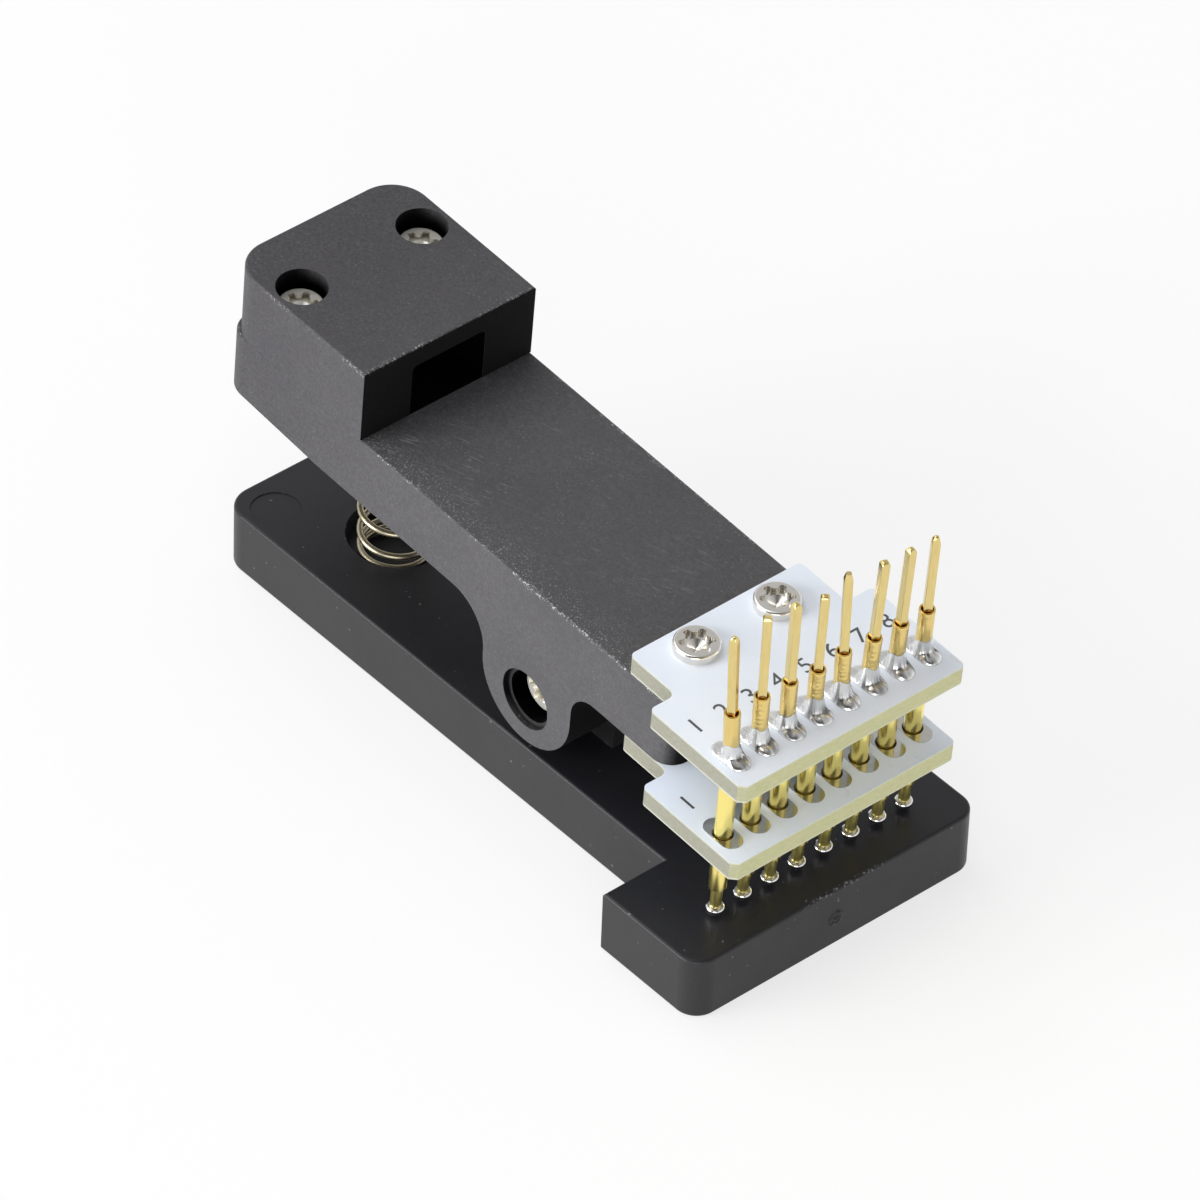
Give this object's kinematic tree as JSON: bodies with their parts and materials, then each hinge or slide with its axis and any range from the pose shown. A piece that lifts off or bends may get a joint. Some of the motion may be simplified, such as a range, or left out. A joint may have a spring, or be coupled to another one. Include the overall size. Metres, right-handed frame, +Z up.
{
  "type": "spring probe programming clip",
  "caption": "Hand clip with a sprung lever that presses a row of spring-loaded contact probes, carried by two small circuit boards, on to a board laid on its base plate.",
  "frame": {"origin": "on the underside of the base plate, midway across and straight below the hinge axis", "axes": "+X forward from the handle to the probes, +Y across, +Z up"},
  "size_m": [0.0602, 0.0269, 0.0325],
  "materials": {
    "base_plastic": "black moulded plastic, satin",
    "lever_plastic": "black moulded plastic with a fine matt grain",
    "screw_metal": "bright nickel plated steel",
    "spring_steel": "drawn spring wire",
    "board_laminate": "white solder mask on glass fibre board with bare pale yellow edges",
    "tinned_pad": "tinned copper",
    "solder": "bright solder with flux residue",
    "gold_plate": "gold plated brass",
    "plunger_metal": "nickel plated head on a gold plated shaft"
  },
  "bodies": {
    "base": {"base_plate": "base_plastic", "hinge_screws": "screw_metal", "return_spring": "spring_steel"},
    "lever": {"lever_arm": "lever_plastic", "cable_cap": "lever_plastic", "cap_screws": "screw_metal", "upper_board": "board_laminate", "lower_board": "board_laminate", "upper_board_pads": "tinned_pad", "lower_board_pads": "tinned_pad", "upper_board_screws": "screw_metal", "lower_board_screws": "screw_metal", "solder_joints": "solder", "receptacle_tubes": "gold_plate", "wire_wrap_tails": "gold_plate", "probe_barrels": "gold_plate", "probe_spring_1": "spring_steel", "probe_spring_2": "spring_steel", "probe_spring_3": "spring_steel", "probe_spring_4": "spring_steel", "probe_spring_5": "spring_steel", "probe_spring_6": "spring_steel", "probe_spring_7": "spring_steel", "probe_spring_8": "spring_steel"},
    "plunger_1": {"plunger_1": "plunger_metal"},
    "plunger_2": {"plunger_2": "plunger_metal"},
    "plunger_3": {"plunger_3": "plunger_metal"},
    "plunger_4": {"plunger_4": "plunger_metal"},
    "plunger_5": {"plunger_5": "plunger_metal"},
    "plunger_6": {"plunger_6": "plunger_metal"},
    "plunger_7": {"plunger_7": "plunger_metal"},
    "plunger_8": {"plunger_8": "plunger_metal"}
  },
  "joints": [
    {"name": "lever_pivot", "type": "hinge", "parent": "base", "child": "lever", "pos_m": [0, 0, 0.00975], "axis": [0, -1, 0], "range_deg": [0, 19], "stiffness_Nm_per_rad": 0.33, "springref_deg": -20.05, "deforming": ["return_spring"]},
    {"name": "plunger_1_press", "type": "slide", "parent": "lever", "child": "plunger_1", "axis": [0.0554, 0, 0.9985], "range_m": [0, 0.0018], "stiffness_N_per_m": 300, "springref_m": -0.0008, "deforming": ["probe_spring_1"]},
    {"name": "plunger_2_press", "type": "slide", "parent": "lever", "child": "plunger_2", "axis": [0.0554, 0, 0.9985], "range_m": [0, 0.0018], "stiffness_N_per_m": 300, "springref_m": -0.0008, "deforming": ["probe_spring_2"]},
    {"name": "plunger_3_press", "type": "slide", "parent": "lever", "child": "plunger_3", "axis": [0.0554, 0, 0.9985], "range_m": [0, 0.0018], "stiffness_N_per_m": 300, "springref_m": -0.0008, "deforming": ["probe_spring_3"]},
    {"name": "plunger_4_press", "type": "slide", "parent": "lever", "child": "plunger_4", "axis": [0.0554, 0, 0.9985], "range_m": [0, 0.0018], "stiffness_N_per_m": 300, "springref_m": -0.0008, "deforming": ["probe_spring_4"]},
    {"name": "plunger_5_press", "type": "slide", "parent": "lever", "child": "plunger_5", "axis": [0.0554, 0, 0.9985], "range_m": [0, 0.0018], "stiffness_N_per_m": 300, "springref_m": -0.0008, "deforming": ["probe_spring_5"]},
    {"name": "plunger_6_press", "type": "slide", "parent": "lever", "child": "plunger_6", "axis": [0.0554, 0, 0.9985], "range_m": [0, 0.0018], "stiffness_N_per_m": 300, "springref_m": -0.0008, "deforming": ["probe_spring_6"]},
    {"name": "plunger_7_press", "type": "slide", "parent": "lever", "child": "plunger_7", "axis": [0.0554, 0, 0.9985], "range_m": [0, 0.0018], "stiffness_N_per_m": 300, "springref_m": -0.0008, "deforming": ["probe_spring_7"]},
    {"name": "plunger_8_press", "type": "slide", "parent": "lever", "child": "plunger_8", "axis": [0.0554, 0, 0.9985], "range_m": [0, 0.0018], "stiffness_N_per_m": 300, "springref_m": -0.0008, "deforming": ["probe_spring_8"]}
  ]
}
